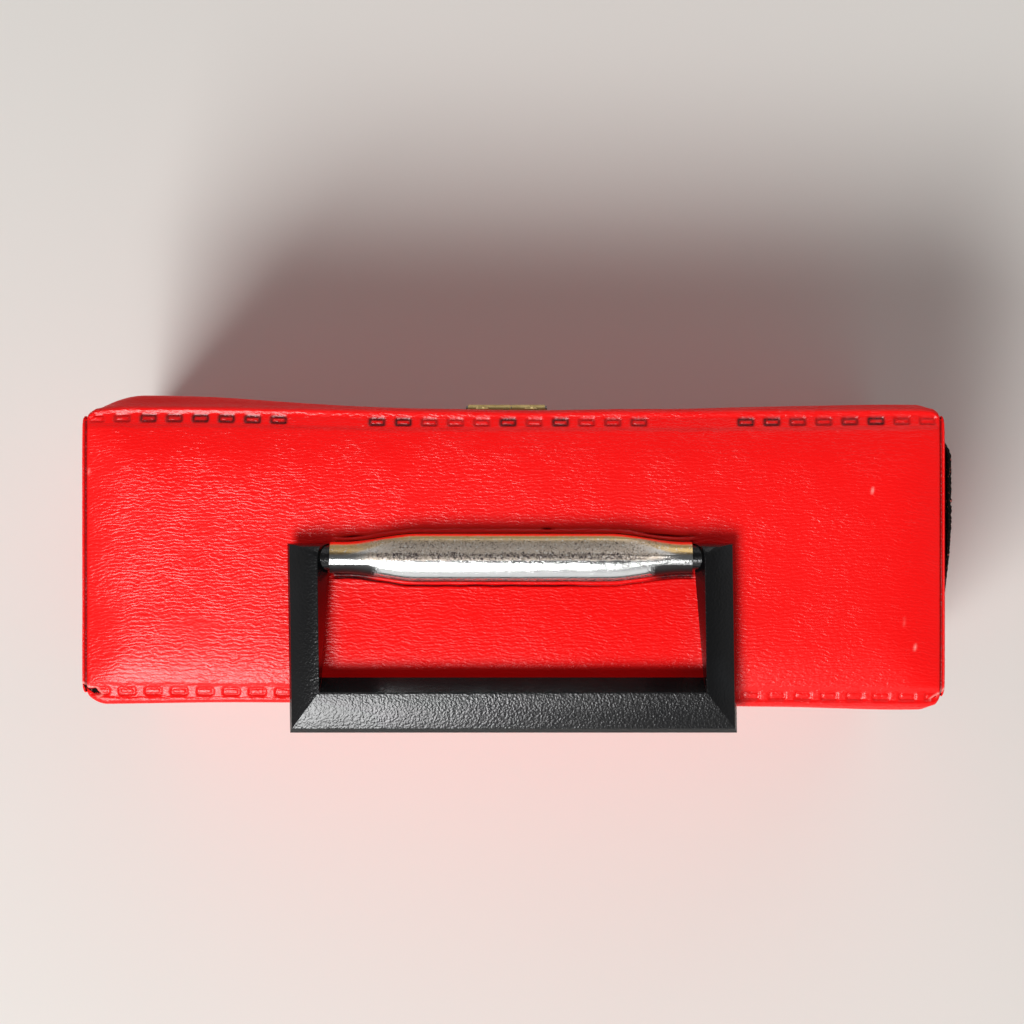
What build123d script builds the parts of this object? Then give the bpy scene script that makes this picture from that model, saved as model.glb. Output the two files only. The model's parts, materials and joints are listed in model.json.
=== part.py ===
from build123d import *
import os

# Cassette tape case: a long narrow box of board covered in grained vinyl, with a deep hinged
# lid, a swinging moulded handle under a chromed clip on the lid, and a latch at the front.
# Millimetres. The origin is the middle of the bottom face and +Z is up. X runs along the
# case, the latch is at the front (-Y) and the hinges are at the rear (+Y).
os.makedirs("parts", exist_ok=True)

# What the case holds: one row of boxed cassettes, standing on end
tape_box_thickness = 17.0
tape_box_width = 70.0
tape_box_height = 109.0
tape_count = 12
tape_play = 0.4
head_room = 2.9

# Sheet and board
cover_sheet = 0.4
base_board = 1.8
base_lining_sheet = 0.4
lid_board = 1.6
lid_top_board_thickness = 2.2
lid_lining_sheet = 0.2

# Rack and its dividers
rack_wall = 0.8
rack_rise = 4.0
divider_thickness = 0.8
divider_height = 46.0
divider_groove_depth = 0.4
divider_play = 0.05
thumb_scoop_depth = 9.0
thumb_scoop_width = 44.0

# Where the case parts, and the crown of the padded lid
base_height = 86.0
parting_gap = 0.3
pad_edge = 0.6
crown_rise = 2.6
crown_run = 14.0
shoulder_radius = 1.0
end_lip_rise = 0.5

# Handle: a moulded ring with a hinge bar across its open side
handle_length = 114.8
handle_reach = 45.2
handle_half_thickness = 4.3
handle_waist = 1.4
handle_side_setback = 0.6
handle_grip_setback = 1.2
arm_facet = 7.1
grip_facet = 9.2
ridge_land = 0.5
opening_half_at_bar = 46.9
opening_half_at_grip = 49.0
opening_reach = 30.9
bar_radius = 3.2
handle_gap = 0.3

# Clip over the bar: narrow at the ends, wide in the middle
clip_sheet = 0.8
bar_clearance = 0.08
clip_end_gap = 0.5
clip_end_stretch = 13.0
clip_middle_half_length = 15.0
clip_middle_half_width = 6.2
clip_steps = 5
clip_tab_width = 12.0
clip_tab_reach = 4.0
clip_tab_spread = 36.0
slit_play = 0.25

# Latch
latch_x = 1.9
latch_width = 20.8
latch_sheet = 0.5
latch_pin_radius = 0.5
latch_pin_clearance = 0.08
latch_plate_height = 15.0
latch_split_x = 0.6
knuckle_gap = 0.3
tongue_sheet = 0.6
tongue_foot_above_catch_foot = 7.0
tongue_stand_off = 0.1
tongue_lip_radius = 1.0
catch_top_below_parting = 4.0
catch_height = 19.0
catch_corner_radius = 2.0
catch_pip_radius = 2.2
catch_pip_height = 0.45
catch_pip_taper = 35
catch_pip_below_top = 6.0
tongue_window_radius = 3.0

# Hinges
hinge_x = 36.0
hinge_width = 28.0
hinge_leaf = 0.8
hinge_leaf_height = 16.0
hinge_pin_radius = 1.0
hinge_pin_clearance = 0.05
hinge_knuckle_radius = 1.9
hinge_seat_gap = 0.05
pin_head_radius = 1.4
pin_head_thickness = 0.5

# Rivets
rivet_shank_radius = 1.0
rivet_head_radius = 1.9
rivet_head_height = 0.7
rivet_head_taper = 30
rivet_clinch_radius = 1.6
rivet_clinch_depth = 0.6
rivet_play = 0.05
hinge_rivet_spread = 8.0
hinge_rivet_from_axis = 10.0
latch_rivet_spread = 6.5
latch_rivet_above_axis = 9.0
catch_rivet_above_foot = 3.5

# Sizes that follow
slot_width = tape_box_thickness + tape_play
slot_pitch = slot_width + divider_thickness
rack_inner_width = tape_box_width + tape_play
rack_inner_length = tape_count * slot_pitch - divider_thickness
base_inset = cover_sheet + base_board + base_lining_sheet
lid_inset = cover_sheet + lid_board + lid_lining_sheet
half_length = rack_inner_length / 2 + rack_wall + base_inset
half_width = rack_inner_width / 2 + rack_wall + base_inset
board_half_length = half_length - cover_sheet
board_half_width = half_width - cover_sheet
floor_board_top = cover_sheet + base_board
rack_foot = floor_board_top + base_lining_sheet
tape_floor = rack_foot + rack_wall
base_rim = base_height - parting_gap / 2
lid_rim = base_height + parting_gap / 2
lid_ceiling = tape_floor + tape_box_height + head_room
lid_board_foot = lid_ceiling + lid_lining_sheet
lid_board_top = lid_board_foot + lid_top_board_thickness
cover_edge = lid_board_top + pad_edge + cover_sheet
cover_top = cover_edge + crown_rise
bar_z = cover_top + handle_gap + handle_half_thickness
clip_end_half_width = bar_radius + bar_clearance + clip_sheet
clip_half_length = opening_half_at_bar - clip_end_gap

front_face = Plane(origin=(0, -half_width, 0), x_dir=(1, 0, 0), z_dir=(0, -1, 0))
rear_face = Plane(origin=(0, half_width, 0), x_dir=(-1, 0, 0), z_dir=(0, 1, 0))


def save(part, name):
    part.label = name
    export_step(part, f"parts/{name}.step")


def slab(x_range, y_range, z_range):
    """A plain block between two corners."""
    with BuildPart() as block:
        with BuildSketch(Plane.XY.offset(z_range[0])):
            with Locations(((x_range[0] + x_range[1]) / 2, (y_range[0] + y_range[1]) / 2)):
                Rectangle(x_range[1] - x_range[0], y_range[1] - y_range[0])
        extrude(amount=z_range[1] - z_range[0])
    return block.part


def rivets(plane, spots, seat, clinch_face):
    """Round-headed rivets on a wall: seat is how far out the head sits from the wall's face,
    clinch_face is how deep below that face the clinched end lies flush."""
    with BuildPart() as group:
        for spot in spots:
            with BuildSketch(plane.offset(seat)):
                with Locations(spot):
                    Circle(rivet_head_radius)
            extrude(amount=rivet_head_height, taper=rivet_head_taper)
            with BuildSketch(plane.offset(seat)):
                with Locations(spot):
                    Circle(rivet_shank_radius)
            extrude(amount=-(seat + clinch_face))
            with BuildSketch(plane.offset(-clinch_face)):
                with Locations(spot):
                    Circle(rivet_clinch_radius)
            extrude(amount=rivet_clinch_depth - rivet_play)
    return group.part


def rivet_holes(plane, spots, start, end):
    """Straight holes for the shanks, from start out of the face down to end below it."""
    with BuildPart() as holes:
        with BuildSketch(plane.offset(start)):
            with Locations(*spots):
                Circle(rivet_shank_radius + rivet_play)
        extrude(amount=-(start + end))
    return holes.part


def clinch_holes(plane, spots, start, end):
    """Shank holes with a wider pocket at the inner end for the clinched rivet."""
    with BuildPart() as holes:
        add(rivet_holes(plane, spots, start, end))
        with BuildSketch(plane.offset(-end)):
            with Locations(*spots):
                Circle(rivet_clinch_radius + rivet_play)
        extrude(amount=rivet_clinch_depth)
    return holes.part


hinge_spots = {}
for side, centre in (("left", -hinge_x), ("right", hinge_x)):
    hinge_spots[side] = [centre - hinge_rivet_spread, centre + hinge_rivet_spread]
hinge_base_z = base_height - hinge_rivet_from_axis
hinge_lid_z = base_height + hinge_rivet_from_axis
hinge_base_spots = [(x, hinge_base_z) for xs in hinge_spots.values() for x in xs]
hinge_lid_spots = [(x, hinge_lid_z) for xs in hinge_spots.values() for x in xs]

# The latch plate's rivets sit half way up the lid's front board, its barrel below them
latch_plate_z = (lid_rim + cover_sheet + lid_board_foot) / 2
latch_axis_z = latch_plate_z - latch_rivet_above_axis
catch_top = base_height - catch_top_below_parting
catch_foot = catch_top - catch_height
catch_rivet_z = catch_foot + catch_rivet_above_foot
latch_rivet_spots = [(latch_x + s * latch_rivet_spread, latch_plate_z) for s in (-1, 1)]
catch_rivet_spots = [(latch_x + s * latch_rivet_spread, catch_rivet_z) for s in (-1, 1)]


# Base: boards
save(slab((-board_half_length, board_half_length), (-board_half_width, board_half_width),
          (cover_sheet, floor_board_top)), "base_floor_board")

base_board_depth = cover_sheet + base_board
base_board_top = base_rim - cover_sheet
with BuildPart() as base_front_board:
    add(slab((-board_half_length, board_half_length),
             (-board_half_width, -board_half_width + base_board), (floor_board_top, base_board_top)))
    add(clinch_holes(front_face, catch_rivet_spots, 0, base_board_depth), mode=Mode.SUBTRACT)
save(base_front_board.part, "base_front_board")

with BuildPart() as base_rear_board:
    add(slab((-board_half_length, board_half_length),
             (board_half_width - base_board, board_half_width), (floor_board_top, base_board_top)))
    add(clinch_holes(rear_face, hinge_base_spots, 0, base_board_depth), mode=Mode.SUBTRACT)
save(base_rear_board.part, "base_rear_board")

end_board_half_width = board_half_width - base_board
for side, sign in (("left", -1), ("right", 1)):
    x_ends = sorted((sign * (board_half_length - base_board), sign * board_half_length))
    save(slab(x_ends, (-end_board_half_width, end_board_half_width),
              (floor_board_top, base_board_top)), f"base_{side}_board")

# Base: vinyl sheets, turned in over the rim of the boards
for name, plane, sign, spots in (("base_front_cover", front_face, -1, catch_rivet_spots),
                                 ("base_rear_cover", rear_face, 1, hinge_base_spots)):
    y_sheet = sorted((sign * board_half_width, sign * half_width))
    y_turn = sorted((sign * (board_half_width - base_board), sign * board_half_width))
    with BuildPart() as base_cover:
        add(slab((-board_half_length, board_half_length), y_sheet, (cover_sheet, base_rim)))
        add(slab((-board_half_length, board_half_length), y_turn, (base_board_top, base_rim)))
        add(rivet_holes(plane, spots, 0, cover_sheet), mode=Mode.SUBTRACT)
    save(base_cover.part, name)

for side, sign in (("left", -1), ("right", 1)):
    x_sheet = sorted((sign * board_half_length, sign * half_length))
    x_turn = sorted((sign * (board_half_length - base_board), sign * board_half_length))
    with BuildPart() as base_end_cover:
        add(slab(x_sheet, (-half_width, half_width), (cover_sheet, base_rim)))
        add(slab(x_turn, (-end_board_half_width, end_board_half_width), (base_board_top, base_rim)))
    save(base_end_cover.part, f"base_{side}_cover")

save(slab((-half_length, half_length), (-half_width, half_width), (0, cover_sheet)),
     "base_bottom_cover")

# Base: lining
lining_half_length = board_half_length - base_board
lining_half_width = end_board_half_width
with BuildPart() as base_lining:
    add(slab((-lining_half_length, lining_half_length), (-lining_half_width, lining_half_width),
             (floor_board_top, base_rim)))
    add(slab((-lining_half_length + base_lining_sheet, lining_half_length - base_lining_sheet),
             (-lining_half_width + base_lining_sheet, lining_half_width - base_lining_sheet),
             (rack_foot, base_rim)), mode=Mode.SUBTRACT)
save(base_lining.part, "base_lining")

# Rack: an open tray with a groove in each long wall for every divider
rack_half_length = rack_inner_length / 2 + rack_wall
rack_half_width = rack_inner_width / 2 + rack_wall
rack_top = base_rim + rack_rise
divider_top = tape_floor + divider_height
divider_half_width = rack_inner_width / 2 + divider_groove_depth - divider_play
divider_places = [(index + 1 - tape_count / 2) * slot_pitch for index in range(tape_count - 1)]
groove_width = divider_thickness + 2 * divider_play
with BuildPart() as cassette_rack:
    add(slab((-rack_half_length, rack_half_length), (-rack_half_width, rack_half_width),
             (rack_foot, rack_top)))
    add(slab((-rack_inner_length / 2, rack_inner_length / 2),
             (-rack_inner_width / 2, rack_inner_width / 2), (tape_floor, rack_top)),
        mode=Mode.SUBTRACT)
    with BuildSketch(Plane.XY.offset(tape_floor)):
        with Locations(*[(x, 0) for x in divider_places]):
            Rectangle(groove_width, rack_inner_width + 2 * divider_groove_depth)
    extrude(amount=divider_top + divider_play - tape_floor, mode=Mode.SUBTRACT)
save(cassette_rack.part, "cassette_rack")

# Dividers: thin plates with a thumb scoop in the top edge
scoop_radius = (thumb_scoop_width ** 2 / 4 + thumb_scoop_depth ** 2) / (2 * thumb_scoop_depth)
for number, place in enumerate(divider_places, start=1):
    with BuildPart() as divider:
        with BuildSketch(Plane.YZ.offset(place - divider_thickness / 2)):
            with Locations((0, (tape_floor + divider_top) / 2)):
                Rectangle(2 * divider_half_width, divider_height)
            with Locations((0, divider_top - thumb_scoop_depth + scoop_radius)):
                Circle(scoop_radius, mode=Mode.SUBTRACT)
        extrude(amount=divider_thickness)
    save(divider.part, f"divider_{number:02d}")

# Base: latch catch, a plate with a low pip that the tongue snaps over
with BuildPart() as latch_catch:
    with BuildSketch(front_face):
        with Locations((latch_x, (catch_top + catch_foot) / 2)):
            RectangleRounded(latch_width, catch_height, catch_corner_radius)
    extrude(amount=latch_sheet)
    with BuildSketch(front_face.offset(latch_sheet)):
        with Locations((latch_x, catch_top - catch_pip_below_top)):
            Circle(catch_pip_radius)
    extrude(amount=catch_pip_height, taper=catch_pip_taper)
    add(rivet_holes(front_face, catch_rivet_spots, latch_sheet, 0), mode=Mode.SUBTRACT)
save(latch_catch.part, "latch_catch")
save(rivets(front_face, catch_rivet_spots, latch_sheet, base_board_depth), "latch_catch_rivets")

# Hinges: two, each with outer knuckles on the base leaf and the middle knuckle on the lid leaf
hinge_axis_y = half_width + hinge_knuckle_radius + hinge_seat_gap
knuckle_length = (hinge_width - 2 * knuckle_gap) / 3
knuckle_step = knuckle_length + knuckle_gap
relief = hinge_knuckle_radius + knuckle_gap


def hinge_leaf_part(centre, up, knuckles, spots):
    """One hinge leaf: up is 1 on the lid and -1 on the base; knuckles are X offsets."""
    leaf_y = (half_width, half_width + hinge_leaf)
    far = base_height + up * hinge_leaf_height
    near = base_height + up * relief
    with BuildPart() as leaf:
        add(slab((centre - hinge_width / 2, centre + hinge_width / 2), leaf_y,
                 sorted((near, far))))
        for offset_x in knuckles:
            x_start = centre + offset_x - knuckle_length / 2
            add(slab((x_start, x_start + knuckle_length),
                     (half_width + hinge_seat_gap, half_width + hinge_leaf),
                     sorted((base_height, near))))
            with BuildSketch(Plane.YZ.offset(x_start)):
                with Locations((hinge_axis_y, base_height)):
                    Circle(hinge_knuckle_radius)
            extrude(amount=knuckle_length)
        with BuildSketch(Plane.YZ.offset(centre - hinge_width / 2)):
            with Locations((hinge_axis_y, base_height)):
                Circle(hinge_pin_radius + hinge_pin_clearance)
        extrude(amount=hinge_width, mode=Mode.SUBTRACT)
        add(rivet_holes(rear_face, spots, hinge_leaf, 0), mode=Mode.SUBTRACT)
    return leaf.part


def headed_pin(start_x, length, y, z, radius, head_radius, end_play):
    """A straight pin along X with a peened head just outside each end of its barrel."""
    with BuildPart() as pin:
        with BuildSketch(Plane.YZ.offset(start_x - end_play)):
            with Locations((y, z)):
                Circle(radius)
        extrude(amount=length + 2 * end_play)
        for face_x, way in ((start_x - end_play, -1), (start_x + length + end_play, 1)):
            with BuildSketch(Plane.YZ.offset(face_x)):
                with Locations((y, z)):
                    Circle(head_radius)
            extrude(amount=way * pin_head_thickness)
    return pin.part


for side, centre in (("left", -hinge_x), ("right", hinge_x)):
    # The rear wall's plane runs along -X, so a rivet's place on it changes sign
    wall_x = [-x for x in hinge_spots[side]]
    base_spots = [(x, hinge_base_z) for x in wall_x]
    lid_spots = [(x, hinge_lid_z) for x in wall_x]
    save(hinge_leaf_part(centre, -1, (-knuckle_step, knuckle_step), base_spots),
         f"hinge_{side}_base_leaf")
    save(hinge_leaf_part(centre, 1, (0,), lid_spots), f"hinge_{side}_lid_leaf")
    save(headed_pin(centre - hinge_width / 2, hinge_width, hinge_axis_y, base_height,
                    hinge_pin_radius, pin_head_radius, hinge_pin_clearance), f"hinge_{side}_pin")
save(rivets(rear_face, hinge_base_spots, hinge_leaf, base_board_depth), "hinge_base_rivets")

# Lid: boards
lid_board_depth = cover_sheet + lid_board
lid_board_rim = lid_rim + cover_sheet
lid_end_half_width = board_half_width - lid_board


def clip_half_width(x):
    """Half the clip's width at x: a smooth swell from its ends to its middle."""
    swell_start = clip_half_length - clip_end_stretch
    share = (swell_start - abs(x)) / (swell_start - clip_middle_half_length)
    share = min(max(share, 0), 1)
    swell = share * share * (3 - 2 * share)
    return clip_end_half_width + (clip_middle_half_width - clip_end_half_width) * swell


def clip_shell(play):
    """The clip's arched sheet, grown by play all round so that it can also cut its slits."""
    swell_start = clip_half_length - clip_end_stretch
    swell_length = swell_start - clip_middle_half_length
    stations = [clip_half_length + play]
    stations += [swell_start - swell_length * step / clip_steps for step in range(clip_steps + 1)]
    stations = [-x for x in stations] + stations[::-1]
    with BuildPart() as shell:
        for x in stations:
            outer = clip_half_width(x) + play
            inner = clip_half_width(x) - clip_sheet - play
            outer_rise = clip_end_half_width + play
            inner_rise = clip_end_half_width - clip_sheet - play
            with BuildSketch(Plane.YZ.offset(x)):
                with BuildLine():
                    Line((outer, lid_board_top), (outer, bar_z))
                    EllipticalCenterArc((0, bar_z), outer, outer_rise, 0, arc_size=180)
                    Line((-outer, bar_z), (-outer, lid_board_top))
                    Line((-outer, lid_board_top), (-inner, lid_board_top))
                    Line((-inner, lid_board_top), (-inner, bar_z))
                    EllipticalCenterArc((0, bar_z), inner, inner_rise, 0, arc_size=180)
                    Line((inner, bar_z), (inner, lid_board_top))
                    Line((inner, lid_board_top), (outer, lid_board_top))
                make_face()
        loft(ruled=True)
    return shell.part


def clip_tabs(play):
    """Three tabs on each side, through the top board and bent outwards under it."""
    with BuildPart() as tabs:
        for x in (-clip_tab_spread, 0, clip_tab_spread):
            x_range = (x - clip_tab_width / 2 - play, x + clip_tab_width / 2 + play)
            for side in (-1, 1):
                reach = min(clip_half_width(x - clip_tab_width / 2),
                            clip_half_width(x + clip_tab_width / 2))
                stem = sorted((side * (reach - clip_sheet - play), side * (reach + play)))
                foot = sorted((side * (reach - clip_sheet - play),
                               side * (reach + clip_tab_reach + play)))
                foot_z = lid_board_foot - clip_sheet
                add(slab(x_range, stem, (foot_z, lid_board_top)))
                add(slab(x_range, foot, (foot_z - play, lid_board_foot)))
    return tabs.part


slits = clip_shell(slit_play)
tab_slots = clip_tabs(slit_play)

with BuildPart() as lid_top_board:
    add(slab((-board_half_length, board_half_length), (-board_half_width, board_half_width),
             (lid_board_foot, lid_board_top)))
    add(tab_slots, mode=Mode.SUBTRACT)
save(lid_top_board.part, "lid_top_board")

with BuildPart() as lid_front_board:
    add(slab((-board_half_length, board_half_length),
             (-board_half_width, -board_half_width + lid_board), (lid_board_rim, lid_board_foot)))
    add(clinch_holes(front_face, latch_rivet_spots, 0, lid_board_depth), mode=Mode.SUBTRACT)
save(lid_front_board.part, "lid_front_board")

with BuildPart() as lid_rear_board:
    add(slab((-board_half_length, board_half_length),
             (board_half_width - lid_board, board_half_width), (lid_board_rim, lid_board_foot)))
    add(clinch_holes(rear_face, hinge_lid_spots, 0, lid_board_depth), mode=Mode.SUBTRACT)
save(lid_rear_board.part, "lid_rear_board")

for side, sign in (("left", -1), ("right", 1)):
    x_ends = sorted((sign * (board_half_length - lid_board), sign * board_half_length))
    save(slab(x_ends, (-lid_end_half_width, lid_end_half_width), (lid_board_rim, lid_board_foot)),
         f"lid_{side}_board")


def crown_profile(half, foot, edge, shoulder):
    """A section with upright sides whose top swells from its edges to a level middle."""
    start = half - shoulder
    level = start - crown_run
    top = edge + crown_rise
    with BuildLine() as outline:
        Line((-half, edge - shoulder), (-half, foot))
        Line((-half, foot), (half, foot))
        Line((half, foot), (half, edge - shoulder))
        if shoulder > 0:
            TangentArc((half, edge - shoulder), (start, edge), tangent=(0, 1))
            TangentArc((-half, edge - shoulder), (-start, edge), tangent=(0, 1))
        TangentArc((level, top), (start, edge), tangent=(1, 0))
        Line((level, top), (-level, top))
        TangentArc((-level, top), (-start, edge), tangent=(-1, 0))
    return outline.line


def crowned(half_x, half_y, foot, edge, shoulder):
    """A block with that section both ways, so that its swell is hipped at the corners."""
    with BuildPart() as block:
        with BuildSketch(Plane.YZ):
            add(crown_profile(half_y, foot, edge, shoulder))
            make_face()
        extrude(amount=half_x, both=True)
        with BuildSketch(Plane.XZ):
            add(crown_profile(half_x, foot, edge, 0))
            make_face()
        extrude(amount=half_y, both=True, mode=Mode.INTERSECT)
    return block.part


# Lid: padding under the top sheet, and the sheet wrapped over front, top and rear
pad = crowned(board_half_length, board_half_width, lid_board_top, lid_board_top + pad_edge,
              pad_edge / 2)
with BuildPart() as lid_padding:
    add(pad)
    add(slits, mode=Mode.SUBTRACT)
save(lid_padding.part, "lid_padding")

with BuildPart() as lid_wrap_cover:
    add(crowned(board_half_length, half_width, lid_rim, cover_edge, shoulder_radius))
    add(slab((-board_half_length, board_half_length), (-board_half_width, board_half_width),
             (lid_board_rim, lid_board_top)), mode=Mode.SUBTRACT)
    add(pad, mode=Mode.SUBTRACT)
    add(slab((-board_half_length, board_half_length), (-lid_end_half_width, lid_end_half_width),
             (lid_rim, lid_board_rim)), mode=Mode.SUBTRACT)
    add(slits, mode=Mode.SUBTRACT)
    add(rivet_holes(front_face, latch_rivet_spots, 0, cover_sheet), mode=Mode.SUBTRACT)
    add(rivet_holes(rear_face, hinge_lid_spots, 0, cover_sheet), mode=Mode.SUBTRACT)
save(lid_wrap_cover.part, "lid_wrap_cover")

for side, sign in (("left", -1), ("right", 1)):
    x_turn = sorted((sign * (board_half_length - lid_board), sign * board_half_length))
    with BuildPart() as lid_end_cover:
        with BuildSketch(Plane.YZ.offset(sign * board_half_length)):
            with BuildLine():
                Polyline((half_width, cover_edge - shoulder_radius), (half_width, lid_rim),
                         (-half_width, lid_rim), (-half_width, cover_edge - shoulder_radius))
                Line((-half_width + shoulder_radius, cover_edge + end_lip_rise),
                     (half_width - shoulder_radius, cover_edge + end_lip_rise))
                for way in (-1, 1):
                    Line((way * half_width, cover_edge - shoulder_radius),
                         (way * (half_width - shoulder_radius), cover_edge + end_lip_rise))
            make_face()
        extrude(amount=sign * cover_sheet)
        add(slab(x_turn, (-lid_end_half_width, lid_end_half_width), (lid_rim, lid_board_rim)))
    save(lid_end_cover.part, f"lid_{side}_cover")

# Lid: lining
with BuildPart() as lid_lining:
    add(slab((-board_half_length + lid_board, board_half_length - lid_board),
             (-lid_end_half_width, lid_end_half_width), (lid_rim, lid_board_foot)))
    add(slab((-half_length + lid_inset, half_length - lid_inset),
             (-half_width + lid_inset, half_width - lid_inset), (lid_rim, lid_ceiling)),
        mode=Mode.SUBTRACT)
    add(tab_slots, mode=Mode.SUBTRACT)
save(lid_lining.part, "lid_lining")

save(rivets(rear_face, hinge_lid_spots, hinge_leaf, lid_board_depth), "hinge_lid_rivets")

# Lid: clip over the handle's bar
with BuildPart() as handle_clip:
    add(clip_shell(0))
    add(clip_tabs(0))
save(handle_clip.part, "handle_clip")

# Lid: latch plate with the first half of the barrel
latch_knuckle_radius = latch_pin_radius + latch_pin_clearance + latch_sheet
latch_axis_y = -half_width - latch_knuckle_radius - hinge_seat_gap
latch_left = latch_x - latch_width / 2
latch_right = latch_x + latch_width / 2
latch_relief = latch_knuckle_radius + knuckle_gap
plate_knuckle = (latch_left, latch_split_x - knuckle_gap / 2)
tongue_knuckle = (latch_split_x + knuckle_gap / 2, latch_right)


def latch_barrel(x_range, hollow):
    """A length of the latch's barrel, or of the hole through it."""
    radius = latch_pin_radius + latch_pin_clearance if hollow else latch_knuckle_radius
    with BuildPart() as barrel:
        with BuildSketch(Plane.YZ.offset(x_range[0])):
            with Locations((latch_axis_y, latch_axis_z)):
                Circle(radius)
        extrude(amount=x_range[1] - x_range[0])
    return barrel.part


with BuildPart() as latch_plate:
    with BuildSketch(front_face):
        plate_foot = latch_axis_z + latch_relief
        plate_top = latch_axis_z + latch_plate_height
        with Locations((latch_x, (plate_foot + plate_top) / 2)):
            Rectangle(latch_width, plate_top - plate_foot)
    extrude(amount=latch_sheet)
    add(slab(plate_knuckle, (-half_width - latch_sheet, -half_width - hinge_seat_gap),
             (latch_axis_z, latch_axis_z + latch_relief)))
    add(latch_barrel(plate_knuckle, False))
    add(latch_barrel((latch_left, latch_right), True), mode=Mode.SUBTRACT)
    add(rivet_holes(front_face, latch_rivet_spots, latch_sheet, 0), mode=Mode.SUBTRACT)
save(latch_plate.part, "latch_plate")
save(rivets(front_face, latch_rivet_spots, latch_sheet, lid_board_depth), "latch_plate_rivets")
save(headed_pin(latch_left, latch_width, latch_axis_y, latch_axis_z, latch_pin_radius,
                latch_pin_radius + latch_sheet / 2, hinge_pin_clearance), "latch_pin")

# Latch tongue: the other half of the barrel, a flat strip and a rolled finger lip
tongue_back = -half_width - latch_sheet - catch_pip_height - tongue_stand_off
tongue_front = tongue_back - tongue_sheet
tongue_foot = catch_foot + tongue_foot_above_catch_foot
with BuildPart() as latch_tongue:
    add(slab((latch_left, latch_right), (tongue_front, tongue_back),
             (tongue_foot, latch_axis_z - latch_relief)))
    add(slab(tongue_knuckle, (tongue_front, tongue_back),
             (latch_axis_z - latch_relief, latch_axis_z)))
    add(latch_barrel(tongue_knuckle, False))
    add(latch_barrel((latch_left, latch_right), True), mode=Mode.SUBTRACT)
    with BuildSketch(Plane.YZ.offset(latch_left)):
        with Locations((tongue_back - tongue_lip_radius, tongue_foot)):
            Circle(tongue_lip_radius)
    extrude(amount=latch_width)
    with BuildSketch(Plane.XZ.offset(-tongue_back)):
        with Locations((latch_x, catch_top - catch_pip_below_top)):
            Circle(tongue_window_radius)
    extrude(amount=2 * tongue_sheet, both=True, mode=Mode.SUBTRACT)
save(latch_tongue.part, "latch_tongue")

# Handle: two arms and a grip with the section of a picture frame, alike on both faces
handle_half_length = handle_length / 2
ridge_x = handle_half_length - handle_side_setback - arm_facet
ridge_y = handle_reach - handle_grip_setback - grip_facet
open_end = -2 * handle_half_thickness
opening_slope = (opening_half_at_grip - opening_half_at_bar) / opening_reach
opening_half_at_end = opening_half_at_bar + opening_slope * open_end


def ring_outline(side_setback, grip_setback):
    """The handle's outside in plan, set back from its widest line."""
    x = handle_half_length - side_setback
    return [(-x, -handle_half_thickness), (x, -handle_half_thickness),
            (x, handle_reach - grip_setback), (-x, handle_reach - grip_setback)]


with BuildPart() as handle:
    middle = Plane.XY.offset(bar_z)
    for way in (-1, 1):
        waist = middle.offset(way * handle_waist)
        face = middle.offset(way * handle_half_thickness)
        with BuildSketch(middle):
            Polygon(*ring_outline(0, 0), align=None)
        with BuildSketch(waist):
            Polygon(*ring_outline(handle_side_setback, handle_grip_setback), align=None)
        loft(ruled=True)
        with BuildSketch(waist):
            Polygon(*ring_outline(handle_side_setback, handle_grip_setback), align=None)
        with BuildSketch(face):
            Polygon(*ring_outline(handle_half_length - ridge_x - ridge_land / 2,
                                  handle_reach - ridge_y - ridge_land / 2), align=None)
        loft(ruled=True)
    for way in (-1, 1):
        face = middle.offset(way * handle_half_thickness)
        with BuildSketch(middle):
            Polygon((-opening_half_at_end, open_end), (opening_half_at_end, open_end),
                    (opening_half_at_grip, opening_reach), (-opening_half_at_grip, opening_reach),
                    align=None)
        inner_x = ridge_x - ridge_land / 2
        with BuildSketch(face):
            Polygon((-inner_x, open_end), (inner_x, open_end),
                    (inner_x, ridge_y - ridge_land / 2), (-inner_x, ridge_y - ridge_land / 2),
                    align=None)
        loft(ruled=True, mode=Mode.SUBTRACT)
    # The arms' free ends are round about the bar, so that they turn clear of the lid
    with BuildSketch(Plane.YZ):
        with BuildLine():
            top = bar_z + handle_half_thickness
            foot = bar_z - handle_half_thickness
            Line((0, foot), (handle_reach, foot))
            Line((handle_reach, foot), (handle_reach, top))
            Line((handle_reach, top), (0, top))
            ThreePointArc((0, top), (-handle_half_thickness, bar_z), (0, foot))
        make_face()
    extrude(amount=handle_length, both=True, mode=Mode.INTERSECT)
    with BuildSketch(Plane.YZ.offset(-opening_half_at_grip)):
        with Locations((0, bar_z)):
            Circle(bar_radius)
    extrude(amount=2 * opening_half_at_grip)
save(handle.part, "handle")
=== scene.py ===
import bmesh
import bpy
import json
import math
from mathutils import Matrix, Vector, noise


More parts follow.
